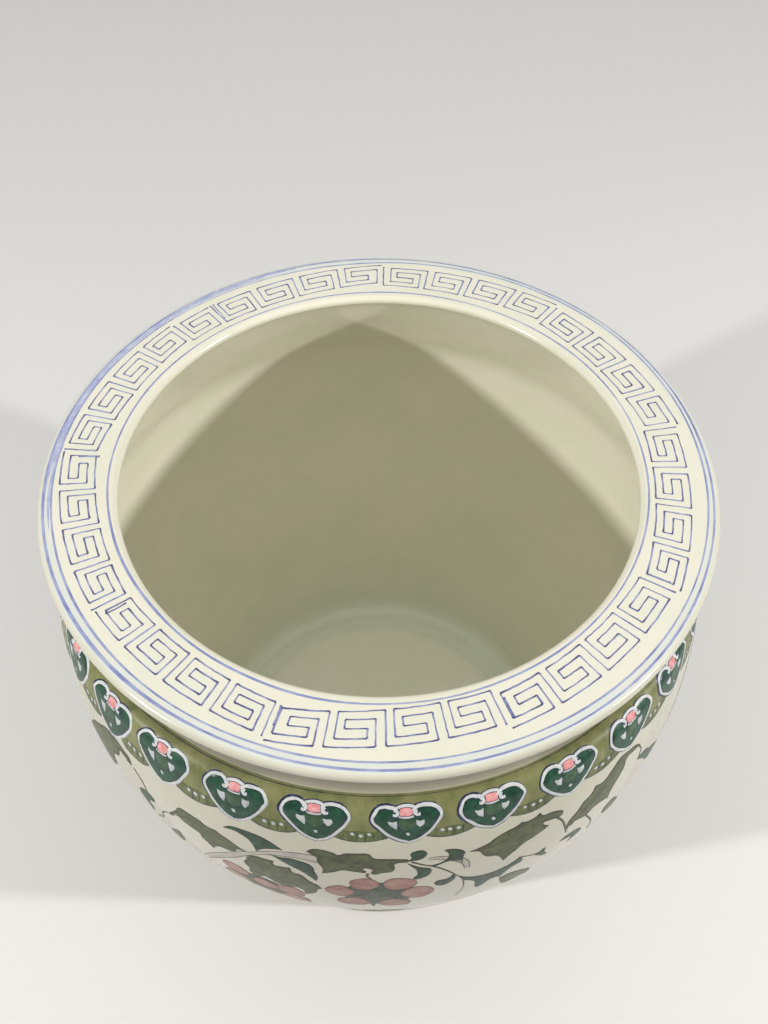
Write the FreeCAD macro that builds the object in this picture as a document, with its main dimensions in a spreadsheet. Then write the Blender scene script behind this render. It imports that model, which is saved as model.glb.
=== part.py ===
"""Porcelain jardiniere: a round, footed fish-bowl planter with a broad flat rim.

A bowl of this size is thrown in sections that are luted together before glazing. Each section here is one
solid of revolution about the vertical axis, and it stands on the one below it with a flat ring:
foot_ring, base_dish, lower_body, upper_body, neck_collar and rim_flange, from the bottom up.

The origin is at the middle of the foot's resting face, +Z is up and all sizes are in millimetres.
"""

import FreeCAD, Part
import math
import os

import Sketcher

SIZES = {
    # the whole bowl's height, and the heights of its sections; the taper takes up what they leave
    "overall_height": 360.0,
    "foot_height": 9.0,
    "dish_rise": 31.0,
    "shoulder_rise": 72.0,
    "collar_rise": 28.0,
    "rim_rise": 14.0,
    # outside, from the belly down and up
    "belly_radius": 208.8,
    "belly_curve": 284.0,
    "taper_angle": 20.2,
    "shoulder_curve": 305.0,
    "shoulder_rounding": 12.0,
    "neck_setback": 2.5,
    "neck_lean": 26.5,
    # rim, reaching out from the top of the neck's outside and in from its inside
    "lip_overhang": 29.1,
    "lip_thickness": 8.5,
    "mouth_overhang": 7.8,
    "mouth_thickness": 7.0,
    # walls, inside and underside
    "wall": 9.0,
    "neck_wall": 9.0,
    "throat_rounding": 60.0,
    "floor_thickness": 8.0,
    "floor_rounding": 20.0,
    "foot_width": 15.0,
    "foot_rounding": 2.5,
}


class Size:
    """A value in millimetres or degrees, with the expression on the sheet that it comes from."""

    def __init__(self, value, text):
        self.value = value
        self.text = text

    def __add__(self, other):
        other = as_size(other)
        return Size(self.value + other.value, f"({self.text} + {other.text})")

    def __sub__(self, other):
        other = as_size(other)
        return Size(self.value - other.value, f"({self.text} - {other.text})")

    def __mul__(self, other):
        other = as_size(other)
        return Size(self.value * other.value, f"{self.text} * {other.text}")

    def __truediv__(self, other):
        other = as_size(other)
        return Size(self.value / other.value, f"{self.text} / ({other.text})")


def as_size(number):
    return number if isinstance(number, Size) else Size(float(number), str(float(number)))


def cosine(angle):
    return Size(math.cos(math.radians(angle.value)), f"cos({angle.text})")


def sine(angle):
    return Size(math.sin(math.radians(angle.value)), f"sin({angle.text})")


def tangent(angle):
    return Size(math.tan(math.radians(angle.value)), f"tan({angle.text})")


def leg(hypotenuse, other_leg):
    """The third side of a right-angled triangle."""
    text = f"sqrt({hypotenuse.text} * {hypotenuse.text} - {other_leg.text} * {other_leg.text})"
    return Size(math.sqrt(hypotenuse.value**2 - other_leg.value**2), text)


class Outline:
    """A closed outline in a body's upright half plane, each point given by its radius and height."""

    START, END = range(1, 3)  # the ends of a sketch's line or arc
    UPRIGHT_AXIS, LEVEL_AXIS = range(-2, 0)

    def __init__(self, label, radius, height):
        self.body = doc.addObject("PartDesign::Body", label)
        self.sketch = self.body.newObject("Sketcher::SketchObject", label + "_outline")
        upright = [plane for plane in self.body.Origin.OriginFeatures if plane.Role == "XZ_Plane"]
        self.sketch.AttachmentSupport = [(upright[0], "")]
        self.sketch.MapMode = "FlatFace"
        self.first = self.last = (radius, height)
        self.ends = []

    def place(self, edge, point, radius, height):
        """Ties a point of the sketch to the sheet: its radius and its height."""
        for kind, axis, size in (
            ("DistanceX", self.UPRIGHT_AXIS, radius),
            ("DistanceY", self.LEVEL_AXIS, height),
        ):
            if size.value == 0:
                self.sketch.addConstraint(Sketcher.Constraint("PointOnObject", edge, point, axis))
                continue
            distance = Sketcher.Constraint(kind, -1, self.START, edge, point, size.value)
            number = self.sketch.addConstraint(distance)
            self.sketch.setExpression(f"Constraints[{number}]", size.text)

    def add(self, geometry, start_point, end_point, radius, height):
        edge = self.sketch.addGeometry(geometry, False)
        if self.ends:
            self.sketch.addConstraint(
                Sketcher.Constraint("Coincident", *self.ends[-1][1], edge, start_point)
            )
        self.ends.append(((edge, start_point), (edge, end_point)))
        if (radius, height) == self.first:
            self.sketch.addConstraint(
                Sketcher.Constraint("Coincident", edge, end_point, *self.ends[0][0])
            )
        self.place(edge, end_point, radius, height)
        self.last = (radius, height)
        return edge

    def line(self, radius, height):
        corners = [FreeCAD.Vector(r.value, z.value, 0) for r, z in (self.last, (radius, height))]
        self.add(Part.LineSegment(*corners), self.START, self.END, radius, height)
        return self

    def arc(self, radius, height, curve, clockwise=False):
        """An arc of the radius curve, of less than a half turn, to the point given."""
        start = FreeCAD.Vector(self.last[0].value, self.last[1].value, 0)
        end = FreeCAD.Vector(radius.value, height.value, 0)
        chord = end - start
        rise = math.sqrt(curve.value**2 - (chord.Length / 2) ** 2)
        aside = FreeCAD.Vector(-chord.y, chord.x, 0).normalize()
        centre = (start + end) / 2 + aside * (-rise if clockwise else rise)
        first, last = (end, start) if clockwise else (start, end)
        angles = [math.atan2(corner.y - centre.y, corner.x - centre.x) for corner in (first, last)]
        circle = Part.Circle(centre, FreeCAD.Vector(0, 0, 1), curve.value)
        points = (self.END, self.START) if clockwise else (self.START, self.END)
        edge = self.add(Part.ArcOfCircle(circle, *angles), *points, radius, height)
        number = self.sketch.addConstraint(Sketcher.Constraint("Radius", edge, curve.value))
        self.sketch.setExpression(f"Constraints[{number}]", curve.text)
        return self

    def nose(self, tip, height, curve):
        """Two quarter turns, by way of the radius tip, to a point right above or below the last one."""
        root, start = self.last
        self.arc(tip, (start + height) / 2, curve)
        return self.arc(root, height, curve)

    def turned(self, curve=None):
        """Closes the outline, with an arc if it has a curve, and turns it about the vertical axis."""
        if curve:
            self.arc(*self.first, curve, clockwise=True)
        else:
            self.line(*self.first)
        doc.recompute()
        turn = self.body.newObject("PartDesign::Revolution", self.body.Label + "_turned")
        turn.Profile = self.sketch
        turn.ReferenceAxis = (self.sketch, ["V_Axis"])
        turn.Angle = 360.0
        self.body.Tip = turn
        doc.recompute()
        return self.body


doc = FreeCAD.newDocument("jardiniere")
sheet = doc.addObject("Spreadsheet::Sheet", "Sizes")
for row, (name, number) in enumerate(SIZES.items(), start=1):
    sheet.set(f"A{row}", name)
    sheet.set(f"B{row}", str(number))
    sheet.setAlias(f"B{row}", name)
doc.recompute()


def size(name):
    return Size(float(getattr(sheet, name)), f"Sizes.{name}")


AXIS = TABLE = as_size(0)
FOOT_TOP = size("foot_height")
FLOOR_TOP = FOOT_TOP + size("floor_thickness")
DISH_TOP = FOOT_TOP + size("dish_rise")
RIM_TOP = size("overall_height")
COLLAR_TOP = RIM_TOP - size("rim_rise")
SHOULDER_TOP = COLLAR_TOP - size("collar_rise")
BELLY = SHOULDER_TOP - size("shoulder_rise")
WALL, TAPER = size("wall"), size("taper_angle")
BELLY_CENTRE = size("belly_radius") - size("belly_curve")


def taper_start(curve):
    """Where the belly's arc of this radius runs into the straight taper below it."""
    return BELLY_CENTRE + curve * cosine(TAPER), BELLY - curve * sine(TAPER)


def outside(height):
    """Radius of the taper's outside."""
    radius, start = taper_start(size("belly_curve"))
    return radius - (start - height) * tangent(TAPER)


def inside(height):
    """Radius of the taper's inside, one wall in from the outside, measured square to it."""
    return outside(height) - WALL / cosine(TAPER)


SHOULDER_CENTRE = size("belly_radius") - size("shoulder_curve")
LEAN = size("neck_lean")


def shoulder(curve, top, rounding):
    """Where an arc up from the belly runs into its rounding, and the radius where that lies level."""
    climb = top - rounding - BELLY
    reach = curve - rounding
    level = SHOULDER_CENTRE + leg(reach, climb)
    start = SHOULDER_CENTRE + (level - SHOULDER_CENTRE) * curve / reach
    return (start, BELLY + climb * curve / reach), level


OUTER_SHOULDER, SHOULDER_LEVEL = shoulder(size("shoulder_curve"), SHOULDER_TOP, size("shoulder_rounding"))
NECK_ROOT = SHOULDER_LEVEL - size("neck_setback")
THROAT_ROOT = NECK_ROOT - size("neck_wall") / cosine(LEAN)
NECK_HEAD = NECK_ROOT - size("collar_rise") * tangent(LEAN)
THROAT_HEAD = THROAT_ROOT - size("collar_rise") * tangent(LEAN)


def throat(curve, rounding):
    """Where an arc up from the belly runs into its rounding, and where that meets the neck's lean."""
    reach = curve - rounding
    across = (THROAT_ROOT - SHOULDER_CENTRE) * cosine(LEAN) + size("shoulder_rise") * sine(LEAN) - rounding
    near = across / reach
    aside = leg(as_size(1), near)
    level = cosine(LEAN) * near + sine(LEAN) * aside
    upright = sine(LEAN) * near - cosine(LEAN) * aside
    start = (SHOULDER_CENTRE + curve * level, BELLY + curve * upright)
    end = (
        SHOULDER_CENTRE + reach * level + rounding * cosine(LEAN),
        BELLY + reach * upright + rounding * sine(LEAN),
    )
    return start, end


def foot_ring():
    """The unglazed ring that the bowl stands on, rounded where it meets the surface below."""
    outer = outside(FOOT_TOP)
    inner = outer - size("foot_width")
    rounding = size("foot_rounding")
    ring = Outline("foot_ring", inner, FOOT_TOP)
    ring.line(inner, rounding)
    ring.arc(inner + rounding, TABLE, rounding)
    ring.line(outer - rounding, TABLE)
    ring.arc(outer, rounding, rounding)
    ring.line(outer, FOOT_TOP)
    return ring.turned()


def base_dish():
    """The floor, turned up into the start of the wall with a hollow rounding inside."""
    rounding = size("floor_rounding")
    centre = inside(FLOOR_TOP + rounding) - rounding / cosine(TAPER)
    dish = Outline("base_dish", AXIS, FOOT_TOP)
    dish.line(outside(FOOT_TOP), FOOT_TOP)
    dish.line(outside(DISH_TOP), DISH_TOP)
    dish.line(inside(DISH_TOP), DISH_TOP)
    dish.line(centre + rounding * cosine(TAPER), FLOOR_TOP + rounding - rounding * sine(TAPER))
    dish.arc(centre, FLOOR_TOP, rounding, clockwise=True)
    dish.line(AXIS, FLOOR_TOP)
    return dish.turned()


def lower_body():
    """The taper, up to the widest ring of the belly."""
    curve = size("belly_curve")
    belly = size("belly_radius")
    body = Outline("lower_body", inside(DISH_TOP), DISH_TOP)
    body.line(outside(DISH_TOP), DISH_TOP)
    body.line(*taper_start(curve))
    body.arc(belly, BELLY, curve)
    body.line(belly - WALL, BELLY)
    body.arc(*taper_start(curve - WALL), curve - WALL, clockwise=True)
    return body.turned()


def upper_body():
    """From the belly up and in to the shoulder, which ends in a level ring under the neck."""
    curve, hollow = size("shoulder_curve"), size("throat_rounding")
    belly = size("belly_radius")
    hollow_start, hollow_end = throat(curve - WALL, hollow)
    body = Outline("upper_body", belly - WALL, BELLY)
    body.line(belly, BELLY)
    body.arc(*OUTER_SHOULDER, curve)
    body.arc(SHOULDER_LEVEL, SHOULDER_TOP, size("shoulder_rounding"))
    body.line(THROAT_ROOT, SHOULDER_TOP)
    body.line(*hollow_end)
    body.arc(*hollow_start, hollow, clockwise=True)
    return body.turned(curve - WALL)


def neck_collar():
    """The short neck, which leans in from the shoulder to the mouth with an even wall."""
    collar = Outline("neck_collar", THROAT_ROOT, SHOULDER_TOP)
    collar.line(NECK_ROOT, SHOULDER_TOP)
    collar.line(NECK_HEAD, COLLAR_TOP)
    collar.line(THROAT_HEAD, COLLAR_TOP)
    return collar.turned()


def rim_flange():
    """The broad flat rim, which reaches well out as a lip and a little way in over the mouth."""
    lip = NECK_HEAD + size("lip_overhang")
    mouth = THROAT_HEAD - size("mouth_overhang")
    lip_thickness, mouth_thickness = size("lip_thickness"), size("mouth_thickness")
    lip_flat = lip - lip_thickness / 2
    mouth_flat = mouth + mouth_thickness / 2
    rim = Outline("rim_flange", THROAT_HEAD, COLLAR_TOP)
    rim.line(NECK_HEAD, COLLAR_TOP)
    rim.line(lip_flat, RIM_TOP - lip_thickness)
    rim.nose(lip, RIM_TOP, lip_thickness / 2)
    rim.line(mouth_flat, RIM_TOP)
    rim.nose(mouth, RIM_TOP - mouth_thickness, mouth_thickness / 2)
    return rim.turned()


def check(bodies):
    """Stops before anything is written if an object failed or a section is no sound solid."""
    for thing in doc.Objects:
        if {"Invalid", "Error"} & set(thing.State):
            raise RuntimeError(f"{thing.Label} did not compute: {thing.State}")
    for body in bodies:
        shape = body.Shape
        if shape.isNull() or not shape.isValid() or len(shape.Solids) != 1:
            raise RuntimeError(f"{body.Label} is not one valid solid")
        print(f"{body.Label}: {shape.Volume / 1000:.1f} cm3")


sections = [foot_ring(), base_dish(), lower_body(), upper_body(), neck_collar(), rim_flange()]
check(sections)
os.makedirs("parts", exist_ok=True)
for section in sections:
    section.Shape.exportStep(f"parts/{section.Label}.step")
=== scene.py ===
# %% [markdown]
# # A painted porcelain fish bowl
# A jardiniere of this kind is thrown in porcelain, painted and glazed. This lesson turns its wall on
# Blender's own wheel (the spin operator), then lays every brush stroke on it as a thin body of colour, and
# glazes it all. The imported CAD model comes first, because it fixes the size and the place of everything
# that follows.

# %% The frame
import math
import random
from bisect import bisect_right

import bmesh
import bpy
from mathutils import Matrix, Quaternion, Vector
from mathutils.kdtree import KDTree


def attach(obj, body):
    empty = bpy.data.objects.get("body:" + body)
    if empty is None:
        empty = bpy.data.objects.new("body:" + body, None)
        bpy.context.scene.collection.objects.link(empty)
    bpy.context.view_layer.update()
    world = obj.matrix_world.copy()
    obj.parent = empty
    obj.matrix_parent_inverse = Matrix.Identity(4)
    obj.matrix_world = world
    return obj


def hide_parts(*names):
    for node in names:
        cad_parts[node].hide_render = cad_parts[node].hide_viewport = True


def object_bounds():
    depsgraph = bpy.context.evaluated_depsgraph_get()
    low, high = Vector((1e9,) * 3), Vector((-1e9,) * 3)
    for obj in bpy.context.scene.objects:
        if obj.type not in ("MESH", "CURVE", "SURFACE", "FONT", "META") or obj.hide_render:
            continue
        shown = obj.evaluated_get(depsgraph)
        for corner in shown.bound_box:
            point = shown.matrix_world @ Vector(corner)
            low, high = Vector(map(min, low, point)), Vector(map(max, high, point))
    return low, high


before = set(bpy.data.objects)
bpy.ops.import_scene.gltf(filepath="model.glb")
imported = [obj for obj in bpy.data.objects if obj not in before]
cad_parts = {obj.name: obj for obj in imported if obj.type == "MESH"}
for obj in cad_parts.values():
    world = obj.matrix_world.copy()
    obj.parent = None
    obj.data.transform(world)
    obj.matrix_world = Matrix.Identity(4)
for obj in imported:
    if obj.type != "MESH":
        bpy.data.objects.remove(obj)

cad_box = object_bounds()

MM = 0.001
low, high = cad_box
print("CAD box in mm", [round(v / MM, 1) for v in (*low, *high)])

# %% [markdown]
# ## The turned outline
# A potter holds a template against the turning clay. Here the template is one chain of edges in the XZ
# plane: a vertex is dragged along straight runs with extrude, and swung round arc centres with spin. Each
# vertex remembers how far along the chain it lies, so that the glaze can change colour from the foot to the
# lip and down the inside.

# %% A template that is drawn with one moving vertex
class Template:
    """A chain of edges in the XZ plane, in metres, and the marks made along it."""

    def __init__(self, radius, height):
        self.mesh = bmesh.new()
        self.along = self.mesh.verts.layers.float.new("along")
        self.tip = self.mesh.verts.new((radius * MM, 0, height * MM))
        self.length = 0.0
        self.marks = {}

    def step(self, tip):
        self.length += (tip.co - self.tip.co).length
        tip[self.along] = self.length
        self.tip = tip

    def straight(self, radius, height, steps=1):
        stride = (Vector((radius * MM, 0, height * MM)) - self.tip.co) / steps
        for _ in range(steps):
            tip = bmesh.ops.extrude_vert_indiv(self.mesh, verts=[self.tip])["verts"][0]
            bmesh.ops.translate(self.mesh, verts=[tip], vec=stride)
            self.step(tip)

    def arc(self, radius, height, degrees, steps):
        """Swings about a centre at that radius and height, anticlockwise with +X to the right and +Z up."""
        for _ in range(steps):
            swung = bmesh.ops.spin(
                self.mesh, geom=[self.tip], cent=(radius * MM, 0, height * MM), axis=(0, -1, 0),
                angle=math.radians(degrees / steps), steps=1)["geom_last"]
            self.step(next(g for g in swung if isinstance(g, bmesh.types.BMVert)))

    def mark(self, name):
        self.marks[name] = self.length

# %% The bowl's outside, from under the floor to the lip, in millimetres and degrees
TAPER = 20.2
RIM_RADIUS, HEIGHT = 203.2, 360
LIP_RADIUS, LIP_HEIGHT, LIP_BEND = 198.94, 355.75, 4.25
bowl = Template(0, 9)
bowl.straight(139.4, 9, 12)
bowl.straight(140.4, 9.9)
bowl.mark("taper")
bowl.straight(191.33, 147.94, 36)
bowl.arc(-75.2, 246, TAPER, 26)
bowl.arc(-96.2, 246, 11.815, 16)
bowl.arc(190.59, 306, 78.185, 9)
bowl.mark("neck")
bowl.straight(189.0, 318.1)
bowl.straight(187.6, 319.2)
bowl.straight(176.0, 342.5, 7)
bowl.straight(175.2, 344.9)
bowl.straight(176.6, 346.3)
bowl.mark("under_lip")
bowl.straight(198.275, 351.552, 6)
bowl.mark("lip")
bowl.arc(LIP_RADIUS, LIP_HEIGHT, 189, 16)
print("outside of the bowl", round(bowl.length / MM), "mm along the outline")

# %% The level rim, the mouth and the inside, down to the middle of the floor
bowl.mark("rim")
bowl.straight(159.79, HEIGHT, 12)
bowl.mark("mouth")
bowl.arc(159.79, 356.5, 180, 12)
bowl.straight(161.6, 350.6)
bowl.straight(164.1, 346)
bowl.straight(193.01, 287.96, 16)
bowl.arc(139.31, 261.19, -22.81, 7)
bowl.arc(-96.2, 246, -3.69, 5)
bowl.arc(-75.2, 246, -TAPER, 25)
bowl.straight(138.38, 30.09, 33)
bowl.mark("turn")
bowl.arc(119.61, 37, -69.8, 10)
bowl.mark("floor")
bowl.straight(116.2, 16.2, 2)
bowl.straight(112.6, 16.2, 2)
bowl.straight(108.8, 17.2, 2)
bowl.straight(0, 16.8, 16)
print({name: round(at / MM) for name, at in bowl.marks.items()}, "total", round(bowl.length / MM))

# %% [markdown]
# ## Leaning in the kiln
# Porcelain softens as it is fired, so a big bowl never comes out truly round or level. Every vertex made
# here, clay and paint alike, goes through this one small move; only the bare foot keeps its place. The move
# is inward and down, by less than a millimetre, so the bowl stays inside its CAD size.

# %% The kiln's small move
def fired(point):
    turn = math.atan2(point.y, point.x)
    height = point.z / (HEIGHT * MM)
    pull = 1 - 0.0006 * height * (3.4 + math.sin(2 * turn + 0.6) + 0.8 * math.sin(3 * turn + 1.9))
    sink = 1 - 0.0005 * (1.7 + math.sin(2 * turn + 2.2))
    return Vector((point.x * pull, point.y * pull, point.z * sink))

print("the lip ends up at", [round(c / MM, 2) for c in fired(Vector((RIM_RADIUS, 0, LIP_HEIGHT)) * MM)], "mm")

# %% [markdown]
# ## Where the paint goes
# A decorator works round the bowl as if the wall were a flat belt. Here the belt is a sheet in metres: x
# runs round the bowl, 205 mm to the radian, and y climbs along the outside from the middle of the
# underside. Shapes are drawn flat, the filled ones are cut so that they can bend, and all are wrapped on the
# turned outline. The rim has a flat ring of its own, on which y is the distance from the axis.

# %% The outside as a list of stations for wrapping, and the radii at which a radian of the belt is unrolled
ROUND = 205 * MM
RIM_ROUND = 176.5 * MM
RIM, TOP = RIM_RADIUS * MM, HEIGHT * MM
chain = sorted((v[bowl.along], v.co.x, v.co.z) for v in bowl.mesh.verts)
wall = [c for c in chain if bowl.marks["taper"] <= c[0] <= bowl.marks["neck"] + 1e-6]
ups = [c[0] for c in wall]

def climb(height):
    """The distance along the outside at which it reaches a height, in metres."""
    for (a, _, low_z), (b, _, high_z) in zip(wall, wall[1:]):
        if height <= high_z:
            return a + (b - a) * max(0.0, height - low_z) / (high_z - low_z)
    return wall[-1][0]

def on_wall(x, y, lift):
    """Wraps a point of the belt on the bowl's outside."""
    y = min(max(y, ups[0]), ups[-1] - 1e-6)
    k = bisect_right(ups, y)
    (a, ra, za), (b, rb, zb) = wall[k - 1], wall[k]
    part, run, rise = (y - a) / (b - a), rb - ra, zb - za
    size = math.hypot(run, rise)
    radius = ra + run * part + lift * rise / size
    height = za + rise * part - lift * run / size
    turn = x / ROUND
    return Vector((radius * math.sin(turn), -radius * math.cos(turn), height))

def on_rim(x, y, lift):
    """Wraps a point of the ring on the top of the rim, and on over the round of the lip."""
    turn, bend = x / RIM_ROUND, LIP_BEND * MM + lift
    over = max(0.0, y - LIP_RADIUS * MM) / (LIP_BEND * MM)
    radius = min(y, LIP_RADIUS * MM) + bend * math.sin(over)
    height = LIP_HEIGHT * MM + bend * math.cos(over)
    return Vector((radius * math.sin(turn), -radius * math.cos(turn), height))

print("widest ring lies", round(climb(0.246) / MM), "mm up the outside")

# %% [markdown]
# ## Glaze and colour as shader maths
# The materials are written as sums. A small class wraps a socket, so that 1 - mask or speck * 0.4 adds its
# Math node, and one method makes any other node from its type, its settings and its inputs.

# %% Sockets that can be added and multiplied
class Wire:
    """One output socket of a node."""

    def __init__(self, paint, socket):
        self.paint, self.socket = paint, socket

    def math(self, operation, *others):
        return self.paint.node("ShaderNodeMath", {"operation": operation}, dict(enumerate((self, *others))))

    def __add__(self, other): return self.math("ADD", other)
    def __radd__(self, other): return self.math("ADD", other)
    def __mul__(self, other): return self.math("MULTIPLY", other)
    def __rmul__(self, other): return self.math("MULTIPLY", other)
    def __sub__(self, other): return self.math("SUBTRACT", other)
    def __rsub__(self, other): return self.paint.node(
        "ShaderNodeMath", {"operation": "SUBTRACT"}, {0: other, 1: self})

    def over(self, start, end, low=0.0, high=1.0):
        """A smooth climb from low to high as this value goes from start to end."""
        return self.paint.node("ShaderNodeMapRange", {"interpolation_type": "SMOOTHSTEP"}, {
            "Value": self, "From Min": start, "From Max": end, "To Min": low, "To Max": high})

    def between(self, start, end, soft):
        """1 from start to end, fading over the soft distance on both sides."""
        return self.over(start - soft, start) * self.over(end, end + soft, 1.0, 0.0)

# %% A material that is put together from wires
def linear(r, g, b):
    """A colour as a screen shows it, from 0 to 255, in the values that a shader adds up."""
    return (*((c / 255 / 12.92) if c < 11 else ((c / 255 + 0.055) / 1.055) ** 2.4 for c in (r, g, b)), 1.0)

class Paint:
    def __init__(self, name, sky=None):
        self.material = sky or bpy.data.materials.new(name)
        self.material.use_nodes = True
        self.tree = self.material.node_tree
        self.tree.nodes.clear()

    def node(self, kind, settings=(), sockets=(), out=None):
        node = self.tree.nodes.new(kind)
        for key, value in dict(settings).items():
            if key == "stops":
                ramp = node.color_ramp
                for at, colour in value[1:-1]:
                    ramp.elements.new(at).color = colour
                for end in (0, -1):
                    ramp.elements[end].position, ramp.elements[end].color = value[end]
            else:
                setattr(node, key, value)
        usable = [s for s in node.inputs if s.enabled]
        for key, value in dict(sockets).items():
            socket = usable[key] if isinstance(key, int) else next(s for s in usable if s.name == key)
            if isinstance(value, Wire):
                self.tree.links.new(value.socket, socket)
            else:
                socket.default_value = value
        outs = [s for s in node.outputs if s.enabled and out in (None, s.name)]
        return Wire(self, outs[0]) if outs else node

    def place(self, scale=(1, 1, 1)):
        where = self.node("ShaderNodeTexCoord", out="Object")
        return self.node("ShaderNodeMapping", {}, {"Vector": where, "Scale": scale})

    def noise(self, size, detail=2.0, scale=(1, 1, 1), rough=0.5):
        """A value near 0.5 whose blotches are about size metres across."""
        return self.node("ShaderNodeTexNoise", {"noise_dimensions": "3D"}, {
            "Vector": self.place(scale), "Scale": 1 / size, "Detail": detail, "Roughness": rough}, "Fac")

    def specks(self, spacing, size):
        """Round dots up to size metres across, about spacing metres apart."""
        away = self.node("ShaderNodeTexVoronoi", {"feature": "F1"}, {
            "Vector": self.place(), "Scale": 1 / spacing}, "Distance")
        return away.over(size / spacing / 2, size / spacing / 4)

    def value(self, name):
        return self.node("ShaderNodeAttribute", {"attribute_name": name}, {}, "Fac")

    def mix(self, factor, first, second, blend="MIX"):
        return self.node("ShaderNodeMix", {"data_type": "RGBA", "blend_type": blend}, {
            "Factor": factor, "A": first, "B": second}, "Result")

    def shown(self):
        """1 for rays that show the background, straight on or reflected, and 0 for all others."""
        camera, glossy, through = (self.node("ShaderNodeLightPath", out=f"Is {ray} Ray")
                                   for ray in ("Camera", "Glossy", "Transmission"))
        return (camera + glossy + through).math("MINIMUM", 1.0)

    def bump(self, height, depth, strength=1.0):
        return self.node("ShaderNodeBump", {}, {"Height": height, "Distance": depth, "Strength": strength})

    def finish(self, **sockets):
        names = {key.replace("_", " "): value for key, value in sockets.items()}
        shader = self.node("ShaderNodeBsdfPrincipled", {}, names)
        self.node("ShaderNodeOutputMaterial", {}, {"Surface": shader})
        return self.material

print("cream glaze is", [round(c, 3) for c in linear(243, 238, 218)])

# %% [markdown]
# ## The glazed body
# The glaze is cream on the rim and inside, ivory outside, and faintly green where it pools in the turn of the
# floor. Under the lip its colour is painted shade: a grey brown band stands for the lip's shadow on the neck
# and for the shaded underside of the lip, and it lightens again round the lip's edge. A blue haze lies
# between the two outer rings. The glaze carries iron specks, faint throwing rings and a soft orange peel. The
# colour follows the outline, so the material reads the "along" value that the template wrote.

# %% The porcelain glaze
def porcelain_glaze():
    glaze = Paint("porcelain_glaze")
    along = glaze.value("along")
    end = bowl.length
    stops = [
        (0.0, linear(205, 196, 172)),
        (bowl.marks["taper"] / end, linear(214, 206, 184)),
        (bowl.marks["neck"] / end, linear(214, 209, 188)),
        # Painted shade: from the top of the shoulder, over the neck and the underside of the lip, the glaze
        # is darkened to grey brown for the lip's shadow, and it lightens again round the lip's edge.
        ((bowl.marks["neck"] + 0.0012) / end, linear(196, 190, 170)),
        ((bowl.marks["neck"] + 0.0028) / end, linear(126, 120, 103)),
        (bowl.marks["lip"] / end, linear(118, 113, 97)),
        ((bowl.marks["lip"] + 0.006) / end, linear(206, 202, 182)),
        ((bowl.marks["rim"] + 0.004) / end, linear(240, 236, 217)),
        ((bowl.marks["mouth"] + 0.003) / end, linear(240, 236, 216)),
        ((bowl.marks["mouth"] + 0.012) / end, linear(237, 232, 213)),
        ((bowl.marks["mouth"] + 0.09) / end, linear(236, 231, 211)),
        ((bowl.marks["turn"] - 0.05) / end, linear(234, 230, 210)),
        (bowl.marks["turn"] / end, linear(228, 231, 213)),
        (bowl.marks["floor"] / end, linear(226, 233, 218)),
        ((bowl.marks["floor"] + 0.014) / end, linear(243, 245, 233)),
        (1.0, linear(244, 246, 235)),
    ]
    body = glaze.node("ShaderNodeValToRGB", {"stops": stops}, {0: along * (1 / end)}, "Color")
    cloud = glaze.noise(0.06, 4.0, (1, 1, 1.6), 0.6)
    body = glaze.mix(cloud.over(0.35, 0.7, 0.0, 0.55), body, glaze.mix(
        1.0, body, (0.90, 0.94, 0.88, 1), "MULTIPLY"))
    key_band = along.between(bowl.marks["rim"] + 0.011, bowl.marks["mouth"] - 0.010, 0.003)
    tint = glaze.noise(0.018, 3.0).over(0.35, 0.75, 0.0, 0.5)
    body = glaze.mix(key_band * tint, body, linear(230, 234, 218))
    blue_haze = along.between(bowl.marks["rim"] - 0.0015, bowl.marks["rim"] + 0.0038, 0.0012)
    patchy = glaze.noise(0.03, 3.0).over(0.3, 0.6, 0.25, 0.8)
    body = glaze.mix(blue_haze * patchy, body, linear(222, 228, 221))
    iron = glaze.specks(0.021, 0.0011) * glaze.noise(0.05).over(0.45, 0.62)
    fine = glaze.specks(0.009, 0.0005) * glaze.noise(0.03).over(0.4, 0.6)
    body = glaze.mix(iron * 0.55 + fine * 0.3, body, linear(92, 78, 56))
    inside = along.over(bowl.marks["mouth"] + 0.01, bowl.marks["mouth"] + 0.03)
    rings = glaze.node("ShaderNodeTexWave", {"wave_type": "RINGS", "rings_direction": "SPHERICAL"}, {
        "Vector": glaze.place(), "Scale": 14.0, "Distortion": 2.5, "Detail": 1.0, "Detail Scale": 3.0}, "Fac")
    peel = glaze.noise(0.0032, 2.0) * 0.25 + glaze.noise(0.02, 2.0) * 1.2 + rings * inside * 0.5
    return glaze.finish(
        Base_Color=body, Roughness=glaze.noise(0.03, 3.0).over(0.3, 0.7, 0.13, 0.22), IOR=1.5,
        Normal=glaze.bump(peel - iron * 0.6, 0.00035, 0.55), Coat_Weight=0.3, Coat_Roughness=0.06)

porcelain = porcelain_glaze()
print("made", porcelain.name)

# %% Finishing a piece: faces out, soft shading, its place in the bowl and its glaze
def piece(name, mesh, material, *nodes):
    bmesh.ops.recalc_face_normals(mesh, faces=mesh.faces)
    data = bpy.data.meshes.new(name)
    mesh.to_mesh(data)
    mesh.free()
    data.shade_smooth()
    data.set_sharp_from_angle(angle=math.radians(50))
    data.materials.append(material)
    body = bpy.data.objects.new(name, data)
    bpy.context.scene.collection.objects.link(body)
    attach(body, "root")
    if nodes:
        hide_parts(*nodes)
    print(name, len(data.vertices), "vertices", len(data.polygons), "faces")

# %% [markdown]
# ## Turning the wall
# One full spin of the outline gives the whole glazed body in a single skin, inside and out, as a thrown and
# luted bowl has when its joints are wiped smooth. The two ends of the chain lie on the axis, so their
# vertices are merged.

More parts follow.
